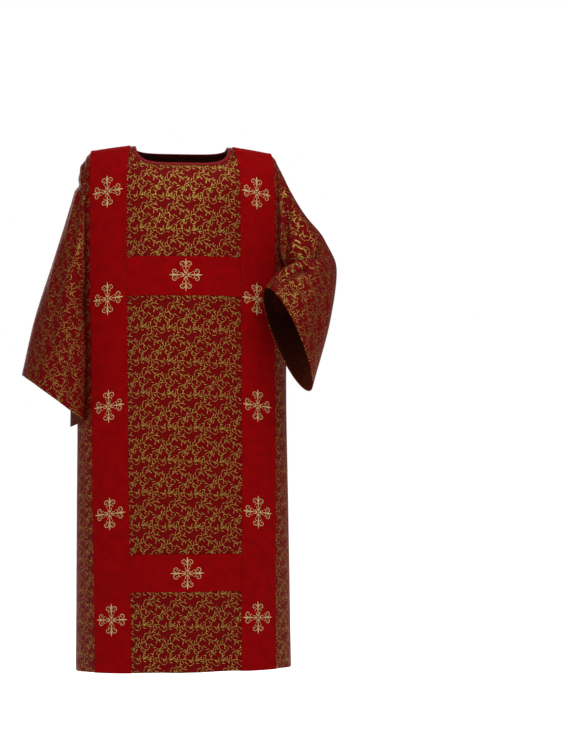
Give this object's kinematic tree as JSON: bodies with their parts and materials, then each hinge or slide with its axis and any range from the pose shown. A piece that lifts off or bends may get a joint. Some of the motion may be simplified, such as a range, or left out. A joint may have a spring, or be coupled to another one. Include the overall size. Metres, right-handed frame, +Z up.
{
  "type": "dalmatic",
  "caption": "Calf-length liturgical dalmatic in figured brocade with wide sleeves, full-length velvet strips, velvet cross bands and a bound squared neck, worn pose, left arm bent.",
  "frame": {"origin": "middle of the neck opening at the level of the shoulder line, where the wearer's neck and shoulders carry the garment", "axes": "+Z up along the hanging body, the wearer faces -Y, and +X is the wearer's left"},
  "size_m": [0.6906, 0.4067, 1.151],
  "materials": {
    "brocade": "dark red satin ground with a gold vine scroll woven in, soft sheen",
    "velvet": "deep red short-pile velvet",
    "binding": "red bias binding"
  },
  "bodies": {
    "root": {"front_panel": "brocade", "back_panel": "brocade", "sleeve_right": "brocade", "sleeve_left": "brocade", "clavus_right": "velvet", "clavus_left": "velvet", "band_front_upper": "velvet", "band_front_lower": "velvet", "band_back_upper": "velvet", "band_back_lower": "velvet", "neck_binding": "binding"}
  },
  "joints": []
}
